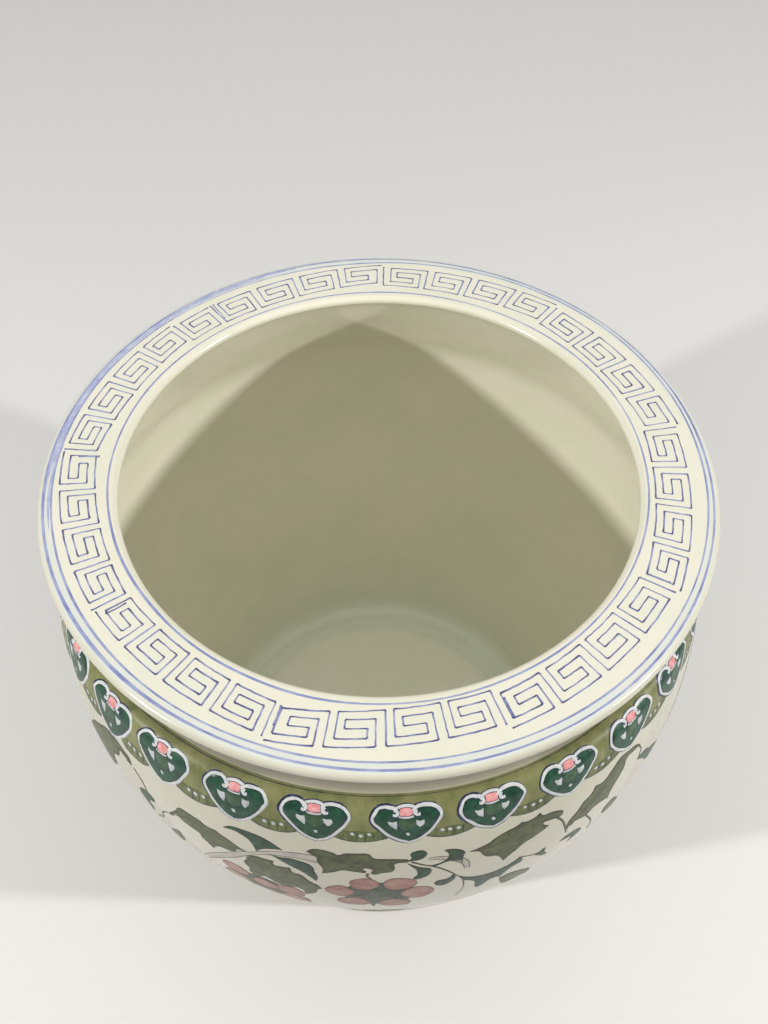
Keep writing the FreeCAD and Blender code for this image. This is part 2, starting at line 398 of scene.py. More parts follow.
# %% The wall in one skin
ROUNDS = 240
wall_mesh = bowl.mesh
bmesh.ops.spin(wall_mesh, geom=wall_mesh.verts[:] + wall_mesh.edges[:], cent=(0, 0, 0), axis=(0, 0, 1),
               angle=2 * math.pi, steps=ROUNDS, use_merge=True)
bmesh.ops.remove_doubles(wall_mesh, verts=wall_mesh.verts, dist=1e-6)
for vertex in wall_mesh.verts:
    vertex.co = fired(vertex.co)
open_edges = sum(1 for e in wall_mesh.edges if len(e.link_faces) != 2)
piece("glazed_bowl", wall_mesh, porcelain,
      "base_dish", "lower_body", "upper_body", "neck_collar", "rim_flange")
print("open edges in the wall:", open_edges)

# %% [markdown]
# ## The bare foot
# The foot ring is wiped clean before the firing, or it would stick to the kiln shelf. It stays dry and
# slightly gritty, buff where the body shows, with a warmer line where the glaze stops.

# %% Bare porcelain
def bare_porcelain():
    clay = Paint("bare_porcelain")
    grit = clay.noise(0.0016, 3.0, rough=0.7)
    stain = clay.noise(0.012, 4.0, (1, 1, 0.6), 0.65).over(0.45, 0.72)
    height = clay.node("ShaderNodeSeparateXYZ", {}, {0: clay.place()}, "Z")
    flash = height.over(0.0045, 0.0088)
    body = clay.mix(stain * 0.5, linear(206, 190, 160), linear(150, 124, 90))
    body = clay.mix(flash * 0.6, body, linear(176, 126, 78))
    body = clay.mix(grit.over(0.55, 0.75, 0.0, 0.3), body, linear(120, 104, 82))
    return clay.finish(Base_Color=body, Roughness=grit.over(0.3, 0.7, 0.72, 0.9),
                       Normal=clay.bump(grit, 0.0002, 0.7))

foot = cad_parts["foot_ring"]
foot.data.materials.clear()
foot.data.materials.append(bare_porcelain())
print("foot ring keeps its CAD mesh:", len(foot.data.vertices), "vertices")

# %% [markdown]
# ## Two brushes
# Underglaze blue and the enamels over the glaze are both laid on with a brush, and both stand a little
# proud. A wash is a closed curve, filled and a hair thick with a chamfered edge; a line is a curve with a
# round bevel, pressed flat, which swells and thins as the hand presses. They stay flat until a layer is
# finished, so a decorator's sizes can be typed in as they were measured on the belt.

# %% Reading a decorator's spots
def spots(text):
    """Reads "degrees,drop" pairs. A drop counts down from the rim in rim radii; c marks a pointed corner."""
    found = []
    for word in text.split():
        degrees, drop = word.rstrip("c").split(",")
        y = climb(TOP + RIM * float(drop))
        found.append((math.radians(float(degrees)) * ROUND, y, word.endswith("c")))
    return found

def drawn(points, closed, **settings):
    """A Bezier chain through points of x, y, corner and, if given, width, as a flat mesh."""
    curve = bpy.data.curves.new("track", "CURVE")
    for key, value in settings.items():
        setattr(curve, key, value)
    spline = curve.splines.new("BEZIER")
    spline.bezier_points.add(len(points) - 1)
    spline.use_cyclic_u = closed
    for knot, (x, y, corner, *width) in zip(spline.bezier_points, points):
        knot.co = (x, y, 0)
        knot.handle_left_type = knot.handle_right_type = "VECTOR" if corner else "AUTO"
        knot.radius = width[0] if width else 1.0
    holder = bpy.data.objects.new("track", curve)
    mesh = bpy.data.meshes.new_from_object(holder)
    bpy.data.objects.remove(holder)
    bpy.data.curves.remove(curve)
    return mesh

trial = drawn(spots("0,-.4 2,-.4 3,-.45 1,-.5 -1,-.45"), True, dimensions="2D")
print("five spots make", len(trial.vertices), "points")

# %% Layers of colour
STEP = math.radians(1.5)
hand = random.Random(7)

class Layer:
    """Washes and lines of one colour. Washes are cut where the wall bends; tones run from 0 to 1."""

    def __init__(self, wrap=on_wall, around=ROUND, bends=tuple(ups)):
        self.mesh = bmesh.new()
        self.mesh.verts.layers.float.new("tone")
        self.wrap, self.pitch, self.bends = wrap, STEP * around, bends

    def add(self, flat, rise, squeeze, dark, reach, cuts=1):
        scrap = bmesh.new()
        scrap.from_mesh(flat)
        bpy.data.meshes.remove(flat)
        bmesh.ops.remove_doubles(scrap, verts=scrap.verts, dist=1e-6)
        tree = KDTree(len(dark) or len(scrap.verts))
        for k, (x, y) in enumerate(dark or [v.co.xy for v in scrap.verts]):
            tree.insert((x, y, 0), k)
        tree.balance()
        xs, ys = [sorted(v.co[axis] for v in scrap.verts) for axis in (0, 1)]
        first, last = (math.floor(x / self.pitch * cuts) for x in (xs[0], xs[-1]))
        places = [(k * self.pitch / cuts, 0) for k in range(first + 1, last + 1) if cuts]
        for a, b in zip(self.bends, self.bends[1:]):
            stops = [a + (b - a) * k / cuts for k in range(cuts)]
            places += [(y, 1) for y in stops if ys[0] < y < ys[-1]]
        for place, axis in places:
            bmesh.ops.bisect_plane(
                scrap, geom=scrap.verts[:] + scrap.edges[:] + scrap.faces[:], dist=1e-6,
                plane_co=(0, place, 0) if axis else (place, 0, 0), plane_no=(0, 1, 0) if axis else (1, 0, 0))
        tone = scrap.verts.layers.float.new("tone")
        for vertex in scrap.verts:
            away = tree.find((vertex.co.x, vertex.co.y, 0))[2]
            vertex[tone] = max(0.0, 1 - away / reach)
            vertex.co.z = rise + vertex.co.z * squeeze
        ready = bpy.data.meshes.new("ready")
        scrap.to_mesh(ready)
        scrap.free()
        self.mesh.from_mesh(ready)
        bpy.data.meshes.remove(ready)

    def wash(self, points, top, reach=2.5 * MM, cuts=2):
        """Fills an outline, cut at the wall's bends or twice as finely. The tone is 1 at its edge."""
        flat = drawn(points, True, dimensions="2D", fill_mode="BOTH", extrude=0.00012, bevel_depth=0.00008,
                     bevel_resolution=0, resolution_u=5)
        self.add(flat, top * MM - 0.0002, 1.0, [], reach, cuts)

    def line(self, points, width, top, closed=False, reach=2.5 * MM, smooth=5):
        """Draws a line; the tone is 1 at its ends and corners, where the brush waits."""
        flat = drawn(points, closed, dimensions="3D", fill_mode="FULL", bevel_depth=width * MM / 2,
                     bevel_resolution=1, use_fill_caps=True, resolution_u=smooth)
        waits = [p[:2] for p in points if p[2]] + ([] if closed else [points[0][:2], points[-1][:2]])
        self.add(flat, (top - 0.1) * MM, 0.1 / (0.433 * width), waits or [(9, 9)], reach, 0)

    def wrapped(self, copies=1):
        """Bends the layer on to the bowl, and repeats it round the axis."""
        for vertex in self.mesh.verts:
            vertex.co = self.wrap(*vertex.co)
        first = self.mesh.verts[:] + self.mesh.edges[:] + self.mesh.faces[:]
        for k in range(1, copies):
            copy = bmesh.ops.duplicate(self.mesh, geom=first)["geom"]
            bmesh.ops.rotate(self.mesh, verts=[g for g in copy if isinstance(g, bmesh.types.BMVert)],
                             cent=(0, 0, 0), matrix=Matrix.Rotation(math.tau * k / copies, 3, "Z"))
        for vertex in self.mesh.verts:
            vertex.co = fired(vertex.co)
        return self.mesh

def shaky(points, shake, swell=0.0):
    """The same points as an unsteady hand sets them, with widths that vary."""
    return [(x + hand.uniform(-shake, shake) * MM, y + hand.uniform(-shake, shake) * MM, corner,
             (width[0] if width else 1.0) * (1 + hand.uniform(-swell, swell)))
            for x, y, corner, *width in points]

print("bends every", round(STEP * ROUND / MM, 2), "mm round the belt and", len(wall), "times up it")

# %% [markdown]
# ## Enamels
# Each colour is a glassy layer with its own faults: the wash is thin in places and lets the ivory through,
# it gathers dark at the edge of a shape, and it follows the strokes it was laid with. One function mixes
# those three for every enamel, so that they all read as one set of paints.

# %% A set of enamels
def enamel(name, colour, thin, dark, blotch=0.006, edge=0.7, streak=(1, 1, 1)):
    paint = Paint(name)
    wash = paint.noise(blotch, 4.0, streak, 0.62)
    fleck = paint.noise(0.0009, 3.0, rough=0.6)
    tone = paint.value("tone")
    body = paint.mix(wash.over(0.42, 0.72), linear(*colour), linear(*thin))
    body = paint.mix(wash.over(0.5, 0.28, 0.0, 0.75), body, linear(*dark))
    body = paint.mix(tone.over(0.15, 1.0, 0.0, edge) * fleck.over(0.25, 0.6, 0.4, 1.0), body, linear(*dark))
    body = paint.mix(fleck.over(0.58, 0.78, 0.0, 0.35), body, linear(*thin))
    return paint.finish(
        Base_Color=body, Roughness=fleck.over(0.3, 0.7, 0.26, 0.42), IOR=1.4, Specular_IOR_Level=0.3,
        Normal=paint.bump(wash * 0.8 + fleck * 0.25, 0.0003, 0.5))

cobalt = enamel("cobalt_blue", (132, 137, 182), (172, 177, 208), (70, 66, 112), 0.012, 0.95)
print("made", cobalt.name)

# %% [markdown]
# ## The key border
# The Greek key was put on with a short curved stencil that holds four turns of the key. It was laid down
# nine times, and one single turn fills a gap, so the runs don't quite meet and each one lies a little
# askew. The 37 turns are not evenly spaced, and that unevenness is what makes the border look hand made.
# Each turn is ten brush strokes on an uneven grid.

# %% The key's runs: turns in degrees; top and foot, at start, middle and end, in thousandths of RIM
KEY_RUNS = [
    ((-55.5, -46.5, -37, -27.4), (918.7, 915.4, 928.7), (822.2, 816.7, 834.4)),
    ((-17.5, -8.5, 1.1, 10.9), (942.2, 914.6, 906.6), (846.6, 814.1, 808.8)),
    ((20.9, 30.15, 40.15, 50.15), (925.0, 913.0, 917.5), (826.3, 810.7, 818.8)),
    ((61.1, 70, 80, 90), (933.0, 912.8, 919.4), (834.3, 812.3, 821.6)),
    ((100.9, 110.5, 120.25, 130), (934.1, 924.0, 929.8), (834.9, 821.3, 833.4)),
    ((140.75, 150, 159.9, 169.5), (948.1, 930.7, 929.2), (848.1, 831.8, 836.9)),
    ((179.75, 189.25, 199.25, 209), (944.6, 924.1, 919.2), (850.8, 824.9, 823.0)),
    ((218.9,), (922.2, 921.5, 920.5), (826.0, 825.5, 825.0)),
    ((228.25, 237.5, 247.25, 256.75), (934.0, 930.8, 942.2), (839.8, 829.6, 850.2)),
    ((266.4, 276, 285.15, 294.9), (946.7, 927.5, 921.3), (848.0, 825.2, 826.2))]
ACROSS = {0: 0.0, 1: 0.15, 2: 0.30, 4: 0.69, 5: 0.83, 6: 1.0}
DOWN = (0.0, 0.23, 0.51, 0.77, 1.0)
TURNS = [(0, 0), (5, 0), (5, 3), (2, 3), (2, 2), (4, 2), (4, 1), (1, 1), (1, 4), (6, 4)]
key = Layer(on_rim, RIM_ROUND, ())

def on_ring(degrees, radius):
    """A spot on the rim, from degrees and a share of the rim's radius."""
    return (math.radians(degrees) * RIM_ROUND, radius * RIM)

def stroke(layer, start, end, width, top, shake=0.12, reach=2.5 * MM):
    """A straight brush stroke, with a point every 3 mm so that it bends on the rim."""
    (x0, y0), (x1, y1) = start, end
    parts = max(2, math.ceil(math.hypot(x1 - x0, y1 - y0) / (3 * MM)))
    press = hand.uniform(0.85, 1.15)
    points = [(x0 + (x1 - x0) * k / parts, y0 + (y1 - y0) * k / parts, False,
               press * (1.12 if k in (0, parts) else hand.uniform(0.84, 1.04))) for k in range(parts + 1)]
    layer.line(shaky(points, shake), width, top, reach=reach, smooth=2)

def through(start, middle, end, share):
    """A smooth level through three measured ones; share runs from -1 to 1."""
    return (middle + (end - start) / 2 * share + (start + end - 2 * middle) / 2 * share * share) / 1000

for number, (run, top, foot) in enumerate(KEY_RUNS):
    follows = KEY_RUNS[(number + 1) % len(KEY_RUNS)][0][0] + (360 if number == len(KEY_RUNS) - 1 else 0)
    edges = [*run, follows - 0.6]
    for degrees, stop in zip(edges, edges[1:]):
        corners = []
        for column, row in TURNS:
            across = ACROSS[column] - (0.06 if degrees == edges[0] and column == 1 else 0.0)
            at = degrees + (stop - degrees) * across
            share = 2 * (at - edges[0]) / (edges[-1] - edges[0]) - 1
            out = through(*top, share) + (through(*foot, share) - through(*top, share)) * DOWN[row]
            corners.append(on_ring(at, out))
        corners.append(on_ring(at, through(*top, share) + (0.006 if stop == edges[-1] else 0.0)))
        for start, end in zip(corners, corners[1:]):
            along_rim = abs(start[0] - end[0]) > abs(start[1] - end[1])
            width, rise, reach = (1.12, 0.08, 9 * MM) if along_rim else (1.2, 0.07, 2.2 * MM)
            stroke(key, start, end, width, rise, reach=reach)
stroke(key, on_ring(217.6, 0.926), on_ring(217.9, 0.84), 0.8, 0.07)
for degrees, thick in ((21.9, 1.7), (62.0, 1.2), (-54.1, 1.3), (-92.6, 1.6), (-16.9, 1.4)):
    stroke(key, on_ring(degrees, 0.899), on_ring(degrees, 0.838), thick, 0.075, 0.3)
piece("key_border", key.wrapped(), cobalt)

# %% [markdown]
# ## The blue rings
# The rings are banded: the bowl turns on a wheel and a loaded brush is held still over it. The brush is
# dipped on the way, so a ring swells, fades, and overlaps its own start. Their blue is purer and brighter
# than that of the key.

# %% Three rings on the rim
banding = enamel("banding_blue", (148, 156, 198), (182, 188, 214), (110, 116, 172), 0.02, 0.2)

def ring(layer, radii, width, phase, thick_at, swell_by):
    """One ring through its radii, one every 20 degrees from -150; it is at its widest at thick_at degrees."""
    points = []
    for k in range(0, 372, 3):
        degrees = k - 150.0
        place, part = divmod(k / 20, 1)
        a, b = (radii[int(place + n) % 18] for n in (0, 1))
        radius = a + (b - a) * part * part * (3 - 2 * part)
        near = abs((degrees - thick_at + 180) % 360 - 180)
        swell = (1 + swell_by * max(0.0, 1 - near / 55) + 0.14 * math.sin(k * 0.13 + phase)
                 + hand.uniform(-0.06, 0.06))
        end = min(1.0, (k + 4) / 14, (375 - k) / 14)
        points.append((*on_ring(degrees, radius / 1000), False, swell * end))
    layer.line(points, width, 0.065, smooth=1)

rings = Layer(on_rim, RIM_ROUND, ())
ring(rings, (978, 978, 979, 981, 980, 977, 976, 978, 980, 981, 980, 979, 978, 980, 982, 982, 981, 979),
     1.6, 0.4, -62, 0.5)
ring(rings, (954, 956, 959, 959, 955, 954, 956, 958, 958, 959, 960, 961, 963, 967, 970, 969, 963, 956),
     1.3, 1.9, -60, 0.3)
ring(rings, (797, 798, 799, 799, 794, 790, 793, 799, 798, 794, 792, 792, 793, 797, 798, 799, 800, 799),
     1.35, 3.1, -50, 0.4)
piece("rim_rings", rings.wrapped(), banding)

# %% A smear where the rings ran together on the far left
smear = Layer(on_rim, RIM_ROUND, ())
for k in range(24):
    start, length, radius = 196 + k * 3.1, 12 + 3 * (k % 3), 0.9712 + 0.0075 * math.sin(k * 2.1)
    points = [(*on_ring(start + length * t / 6, radius + 0.0008 * math.sin(t + k)), False,
               math.sin(math.pi * (t + 0.6) / 7.2)) for t in range(7)]
    smear.line(points, 2.4, 0.045 + 0.0007 * k, smooth=3)
pale_blue = enamel("thin_blue", (178, 184, 214), (200, 206, 222), (152, 160, 204), 0.008, 0.1)
piece("blue_smear", smear.wrapped(), pale_blue)

# %% [markdown]
# ## The shoulder band
# A band of olive wash runs under the lip, with a scalloped hem between the lappets. It was painted by eye
# and hangs lower on the left. The wash is one long strip on the belt, and its two ends are welded where
# they meet at the back.

# %% Where the lappets stand, and how far the band sags
HEADS = [-60.9, -48.2, -35.9, -22.5, -9.6, 4.2, 17.3, 30.6, 43.95, 57.2]
HEADS += [57.2 + 13.439 * k for k in range(1, 18)]
HEADS = sorted((h + 180) % 360 - 180 for h in HEADS)

def sag(degrees):
    left = max(0.0, -((degrees + 180) % 360 - 180))
    return 1 + 0.0065 * min(left, 36) * (1 if left < 60 else max(0.0, (180 - left) / 120))

BAND_TOP = -0.207

def belt(degrees, drop, corner=False, width=1.0, top=BAND_TOP):
    """A spot on the band; its drop is stretched where the band sags."""
    drop = top + (drop - top) * sag(degrees)
    return (math.radians(degrees) * ROUND, climb(TOP + RIM * drop), corner, width)

hem = []
for left, right in zip([HEADS[-1] - 360] + HEADS, HEADS + [HEADS[0] + 360]):
    middle, half = (left + right) / 2, (right - left) / 2
    low = -0.3455 + hand.uniform(-0.002, 0.002)
    hem.append([belt(middle - half + 1.2, -0.30, True), belt(middle - half + 2.9, -0.328, True),
                belt(middle - 2.2, low + 0.006), belt(middle, low), belt(middle + 2.2, low + 0.006),
                belt(middle + half - 2.9, -0.328, True), belt(middle + half - 1.2, -0.30, True)])
edge = math.pi * ROUND
bottom = [p for scallop in hem for p in scallop if abs(p[0]) < edge - 2 * MM]
ends = [(-edge, bottom[0][1], True), *bottom, (edge, bottom[0][1], True)]
band = Layer()
top_edge = climb(TOP + RIM * BAND_TOP)
outline = [*ends, (edge, top_edge, True), (-edge, top_edge, True)]
flat = drawn(outline, True, dimensions="2D", fill_mode="BOTH", extrude=0.00012, resolution_u=4)
band.add(flat, 0.05 * MM - 0.00012, 1.0, [p[:2] for p in bottom], 9 * MM, 2)
caps = [f for f in band.mesh.faces if all(abs(abs(v.co.x) - edge) < 1e-6 for v in f.verts)]
bmesh.ops.delete(band.mesh, geom=caps, context="FACES")
band.wrapped()
bmesh.ops.remove_doubles(band.mesh, verts=band.mesh.verts, dist=2e-6)
print("open edges in the band:", sum(1 for e in band.mesh.edges if len(e.link_faces) != 2))
olive_band = enamel("olive_wash", (126, 128, 80), (146, 146, 100), (88, 104, 64), 0.012, 0.5, (1, 1, 0.28))
piece("shoulder_band", band.mesh, olive_band)

# %% [markdown]
# ## The lappets
# Twenty-seven ruyi heads hang on the band, each a heart with two curled lobes and a pink jewel between
# them. They are all painted the same way, in the same order: green ground, lighter oval, white highlights,
# white outline, dark hairline. Each is a little off in place, height and tilt, as freehand copies are.

# %% One lappet, in degrees from its middle and rim radii below the rim
HEART = ("-1.6,-.2205 -2.4,-.2180 -3.4,-.2185 -4.2,-.224 -4.75,-.233 -5.0,-.246 -4.75,-.262 -4.2,-.280 "
         "-3.3,-.302 -2.4,-.320 -1.2,-.339 .1,-.352c 1.4,-.339 2.5,-.320 3.4,-.302 4.2,-.278 4.9,-.258 "
         "5.2,-.243 4.95,-.229 4.2,-.2200 3.3,-.2178 2.3,-.2178 1.6,-.2200 0,-.228")
RIBBON = ("-1.4,-.2275 -1.6,-.2228 -2.25,-.2192 -3.2,-.2180 -4.1,-.2215 -4.75,-.2315 -5.05,-.246 "
          "-4.85,-.263 -4.25,-.281 -3.45,-.302 -2.5,-.321 -1.3,-.339 .1,-.3505c 1.5,-.339 2.6,-.321 "
          "3.5,-.302 4.35,-.278 5.0,-.258 5.3,-.243 5.05,-.2295 4.3,-.2205 3.3,-.2178 2.3,-.2180 "
          "1.6,-.2205 1.25,-.2245 1.55,-.2285")
SPREAD = {0: 1.3, 1: 1.15, 24: 1.15, 25: 1.3}
OVAL = "-1.3,-.249 .1,-.2465 1.4,-.249 1.65,-.262 1.3,-.281 .1,-.294 -1.1,-.281 -1.45,-.262"
JEWEL = ("-.85,-.2225c -.4,-.2205 .45,-.2205 .9,-.2225c 1.0,-.2285 .85,-.2365c .4,-.2385 -.4,-.2385 "
         "-.85,-.2365c -.95,-.2290")
LEFT_SPARK = "-2.75,-.2555c -2.1,-.2585 -1.5,-.2545c -1.45,-.268 -1.55,-.289c -2.2,-.279 -2.65,-.267"
RIGHT_SPARK = "1.35,-.2545c 2.0,-.2575 2.65,-.2555c 2.65,-.268 2.35,-.277 1.9,-.285c 1.55,-.272"

def lappet(text, place, tilt, spread=None):
    points = []
    for k, word in enumerate(text.split()):
        degrees, drop = (float(n) for n in word.rstrip("c").split(","))
        degrees += tilt * (drop + 0.28)
        points.append(belt(place + degrees, drop, word.endswith("c"), (spread or {}).get(k, 1.0), -0.2075))
    return points

CURLS = [
    "-1.5,-.2235 -1.3,-.2295 -1.5,-.2350 -2.0,-.2345", "1.6,-.2240 1.4,-.2300 1.6,-.2355 2.15,-.2350",
]
ground, oval, white, jewel, hair = Layer(), Layer(), Layer(), Layer(), Layer()

def mark(layer, text, width, top, shake, swell):
    """One line of the lappet in hand, at its place and tilt."""
    layer.line(shaky(lappet(text, place, tilt), shake, swell), width, top)

for place in HEADS:
    tilt, heavy = hand.uniform(-4, 4), hand.uniform(0.85, 1.2)
    ground.wash(shaky(lappet(HEART, place, tilt), 0.15), 0.10, cuts=1)
    oval.wash(shaky(lappet(OVAL, place, tilt), 0.25), 0.14, cuts=1)
    jewel.wash(shaky(lappet(JEWEL, place, tilt), 0.2), 0.20, 1.2 * MM, 1)
    for spark in (LEFT_SPARK, RIGHT_SPARK):
        white.wash(shaky(lappet(spark, place, tilt), 0.35), 0.17, 1.2 * MM, 1)
    mark(white, "-1.4,-.2200 -.7,-.2180 .1,-.2172 .8,-.2178 1.4,-.2198", 1.7, 0.185, 0.15, 0.1)
    mark(white, "-1.1,-.2400 -.5,-.2425 .5,-.2425 1.1,-.2400", 1.7, 0.185, 0.12, 0.1)
    mark(hair, "-1.35,-.2395 -.6,-.2455 .6,-.2455 1.35,-.2395", 0.7, 0.17, 0.12, 0.2)
    mark(hair, "-.8,-.2212 .0,-.2202 .85,-.2212", 0.45, 0.21, 0.1, 0.2)
    mark(hair, "-.95,-.2385 .0,-.2402 .95,-.2385", 0.45, 0.21, 0.1, 0.2)
    mark(white, "-.08,-.307 .15,-.317", 1.9, 0.17, 0.3, 0.2)
    white.line(shaky(lappet(RIBBON, place, tilt, SPREAD), 0.2, 0.14), 1.9, 0.23)
    hairline = [(x, y + 0.15 * MM, corner, 1.2 if k < 8 else 0.98)
                for k, (x, y, corner, _) in enumerate(lappet(RIBBON, place - 0.1, tilt)[1:-1])]
    hair.line(shaky(hairline, 0.15, 0.1), 2.75 * heavy, 0.15)
    for curl in CURLS:
        hook = [(x, y, corner, width) for (x, y, corner, _), width
                in zip(lappet(curl, place, tilt), (1.0, 1.1, 1.1, 0.9))]
        hair.line(shaky(hook, 0.12, 0.1), 2.9, 0.19)
        white.line(shaky(hook, 0.1, 0.1), 2.15, 0.235)
    for inner in ("-1.3,-.2415 -2.0,-.2435 -2.9,-.2425", "1.4,-.2415 2.1,-.2440 3.1,-.2430",
                  "-1.25,-.2485 -1.4,-.262 -1.15,-.282 .05,-.2945 1.1,-.282 1.4,-.262 1.3,-.2485"):
        mark(hair, inner, 0.5, 0.155, 0.25, 0.25)
    mark(hair, "-1.7,-.2185 -.8,-.2155 .1,-.2145 .9,-.2152 1.7,-.2180", 0.7, 0.16, 0.12, 0.2)

# %% Three dabs on each scallop, over a darker fringe, and the dark line of its hem
fringe, dabs = Layer(), Layer()
for scallop in hem[:-1]:
    middle = math.degrees((scallop[1][0] + scallop[5][0]) / 2 / ROUND)
    for k in (-1, 0, 1):
        away = middle + 1.35 * k + hand.uniform(-0.12, 0.12)
        drop = -0.3115 - 0.004 * (k == 0) + hand.uniform(-0.003, 0.003)
        dab = [belt(away - 0.1, drop + 0.006, False, 0.6), belt(away, drop, False, 1.1),
               belt(away + 0.1, drop - 0.006, False, 0.7)]
        white.line(dab, 2.3 + hand.uniform(-0.5, 0.4), 0.14, smooth=3)
        dabs.line([belt(away + 0.62, drop + 0.014, False, 0.5), belt(away + 0.72, drop - 0.010, False, 1.2),
                   belt(away + 0.6, drop - 0.024, False, 0.8)], 1.2, 0.095, smooth=3)
    strip = [belt(middle + away, drop) for away, drop in (
        (-3.4, -0.296), (-1.6, -0.2995), (0, -0.297), (1.7, -0.3005), (3.4, -0.297))]
    fringe.wash(shaky([*strip, *reversed(scallop[1:6])], 0.3), 0.07, cuts=1)
    hair.line(shaky(scallop[1:6], 0.15, 0.4), 0.5, 0.105)

lappet_green = enamel("lappet_green", (28, 70, 52), (46, 92, 68), (14, 42, 36), 0.005, 0.5)
oval_green = enamel("leaf_green_light", (56, 88, 60), (78, 108, 76), (36, 68, 48), 0.004, 0.4)
enamel_white = enamel("thick_white", (216, 218, 218), (228, 228, 222), (186, 192, 204), 0.003, 0.35)
jewel_pink = enamel("jewel_pink", (236, 156, 156), (246, 192, 188), (224, 134, 138), 0.003, 0.1)
midnight = enamel("midnight_line", (38, 42, 68), (74, 80, 108), (20, 24, 48), 0.004, 0.3)
fringe_green = enamel("fringe_green", (98, 106, 66), (126, 130, 86), (62, 74, 48), 0.005, 0.6, (1, 1, 0.3))
fringe_dark = enamel("fringe_dark", (60, 72, 46), (84, 92, 60), (44, 56, 38), 0.004, 0.3)
piece("band_fringe", fringe.wrapped(), fringe_green)
piece("fringe_dabs", dabs.wrapped(), fringe_dark)
piece("lappet_ground", ground.wrapped(), lappet_green)
piece("lappet_ovals", oval.wrapped(), oval_green)
piece("lappet_white", white.wrapped(), enamel_white)
piece("lappet_jewels", jewel.wrapped(), jewel_pink)
piece("lappet_lines", hair.wrapped(), midnight)

# %% [markdown]
# ## The lotus scroll
# Below the band a lotus scroll fills the belly: saw-edged olive leaves, blue-green curling ones, a pale
# stem and pink flowers. Such a scroll is painted from a pounced pattern that repeats, and here one panel of
# 120 degrees is drawn and turned round the axis three times. Only the upper half of it can be made out in
# the photograph.

# %% Saw-edged olive leaves
OLIVE_LEAVES = [
    "-11,-.43c -10,-.413 -8.5,-.407 -7,-.418 -6.2,-.425 -5,-.413 -3,-.408 -1.5,-.41 -.8,-.43 1,-.435 "
    "2.8,-.44 4.5,-.452 2.3,-.465 2.4,-.49 2,-.51 .5,-.52 -1,-.525 -.9,-.498 -2.5,-.495 -2,-.517 "
    "-3.5,-.515 -5.5,-.513 -7,-.53 -8.7,-.55c -8.6,-.52 -9.2,-.48 -9.4,-.455 -10.3,-.44",
    "-21,-.57 -19.5,-.55 -17.5,-.547 -16.6,-.54c -16.7,-.57 -15.5,-.57 -14,-.56c -13.5,-.59 -12.3,-.595 "
    "-11.2,-.63 -9.9,-.655 -9.2,-.68c -10,-.70 -10.4,-.735 -12.3,-.775c -12.4,-.74 -13.6,-.72 -15,-.74 "
    "-17,-.73 -18,-.705 -19,-.70 -20,-.74c -21.5,-.70 -21.3,-.67 -22,-.63 -21.3,-.60",
    "-36.2,-.575c -35.5,-.55 -34.2,-.515 -33,-.475 -31.5,-.475 -29.5,-.477 -28,-.49 -26.2,-.487c "
    "-25.7,-.495 -24,-.51 -22.5,-.53 -21.3,-.54c -22.8,-.55 -23.3,-.57 -24.2,-.585 -26,-.59 -27,-.61 "
    "-27.7,-.635c -28.5,-.61 -29.5,-.59 -29.8,-.57 -31.5,-.56 -33.5,-.55 -34,-.535 -34.8,-.545 "
    "-35.3,-.57",
    "-43.6,-.45c -44,-.42 -45.5,-.405 -47,-.395 -49,-.39 -50.5,-.40 -53,-.44 -55,-.47 -57,-.52 "
    "-59.5,-.60 -62,-.68c -57,-.66 -54,-.66 -52,-.66c -51.4,-.63 -50,-.60 -49.8,-.55 -49,-.51 "
    "-47.5,-.48 -47,-.45 -46.3,-.425 -45.3,-.435 -44.3,-.45",
    "14,-.452c 15.5,-.447 17,-.435 18,-.415 20,-.40 21.5,-.39 22.3,-.38c 23,-.39 24.5,-.385 25.5,-.375c "
    "26,-.395 27.5,-.40 29,-.415 29.9,-.435 29.3,-.45 28.5,-.448 27.5,-.44 26.2,-.44 26.5,-.455 "
    "27.3,-.47c 26,-.485 24.5,-.50 23,-.51 22,-.535 21,-.55 19.9,-.58c 19.3,-.55 18.5,-.525 17,-.51 "
    "16.2,-.49 15.5,-.465",
    "31.5,-.59c 31.5,-.53 33,-.49 34,-.455c 35.5,-.44 36.2,-.41c 38,-.42 40,-.39 41.5,-.365 43.5,-.37 "
    "45.5,-.38 47,-.41c 45,-.40 43.5,-.40 43,-.44 42,-.48 40.8,-.52 40.5,-.57c 38.5,-.55 37,-.55 "
    "35.5,-.565 34,-.555 32.5,-.55",
    "41,-.65c 42.5,-.635 43.6,-.655 44.5,-.68 45.3,-.71 45.4,-.735 45,-.76c 43.6,-.745 42.4,-.735 "
    "41.6,-.715 40.9,-.69",
    "20.5,-.75c 22,-.738 24,-.752 25.4,-.775 26.5,-.80 27.2,-.84 27,-.88c 25.6,-.865 24.4,-.875 "
    "23.4,-.90c 22.2,-.87 21.4,-.83 20.9,-.80",
    "-35.5,-.70c -36.6,-.715 -37.6,-.74 -38.6,-.765c -38.9,-.80 -38.2,-.83 -37,-.85c -36.6,-.82 "
    "-35.9,-.79 -35.4,-.76",
]
VEINS = [
    "-10.2,-.427 -6.5,-.455 -2,-.472 2,-.478", "-20.6,-.60 -16.5,-.625 -12.8,-.668 -10.4,-.70",
    "-35,-.556 -31.5,-.515 -27,-.525 -22.6,-.542", "-44.6,-.437 -48.5,-.43 -52.5,-.51 -57,-.60",
    "15,-.458 19,-.455 23.5,-.428 27.8,-.425", "32.2,-.565 35.5,-.495 39,-.44 43.8,-.385",
]
panel_leaves, panel_lines = Layer(), Layer()
for text in OLIVE_LEAVES:
    points = spots(text)
    panel_leaves.wash(shaky(points, 0.3), 0.10, 3.2 * MM)
    panel_lines.line(shaky(points, 0.35, 0.5), 0.62, 0.13, closed=True, reach=4 * MM)
